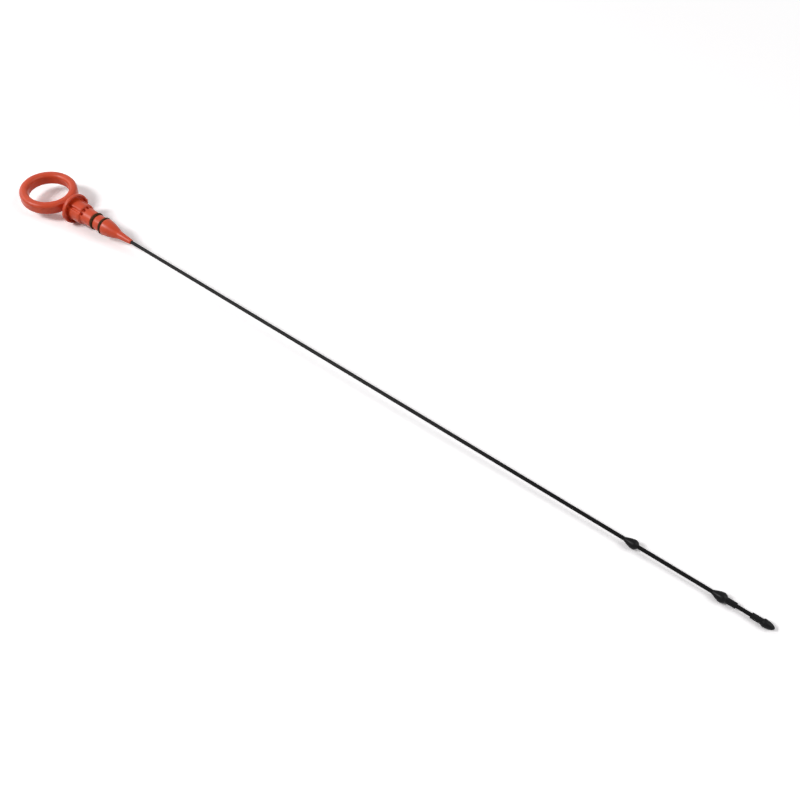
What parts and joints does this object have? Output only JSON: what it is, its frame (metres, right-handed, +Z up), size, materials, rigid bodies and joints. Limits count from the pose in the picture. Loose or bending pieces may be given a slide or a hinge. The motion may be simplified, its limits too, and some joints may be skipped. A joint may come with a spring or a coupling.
{
  "type": "engine oil dipstick",
  "caption": "Engine oil dipstick with a moulded orange-red finger-ring handle, a flanged plug with sealing rings, and a slim dark rod with guide beads and an arrow-shaped gauge tip.",
  "frame": {"origin": "centre of the flat seat ring under the handle's flange, on the axis of the plug and the rod", "axes": "+X from the seat along the rod towards the gauge tip, which points 0.86 degrees down as the dipstick lies; the finger ring lies along X and Y; +Z up from the surface that it lies on"},
  "size_m": [0.5519, 0.0382, 0.0205],
  "materials": {
    "handle_plastic": "satin",
    "seal_rubber": "matte",
    "rod_coating": "satin",
    "bead_plastic": "satin"
  },
  "bodies": {
    "root": {"handle": "handle_plastic", "upper_seal_ring": "seal_rubber", "lower_seal_ring": "seal_rubber", "rod": "rod_coating", "upper_guide_bead": "bead_plastic", "lower_guide_bead": "bead_plastic", "gauge_tip": "bead_plastic"}
  },
  "joints": []
}
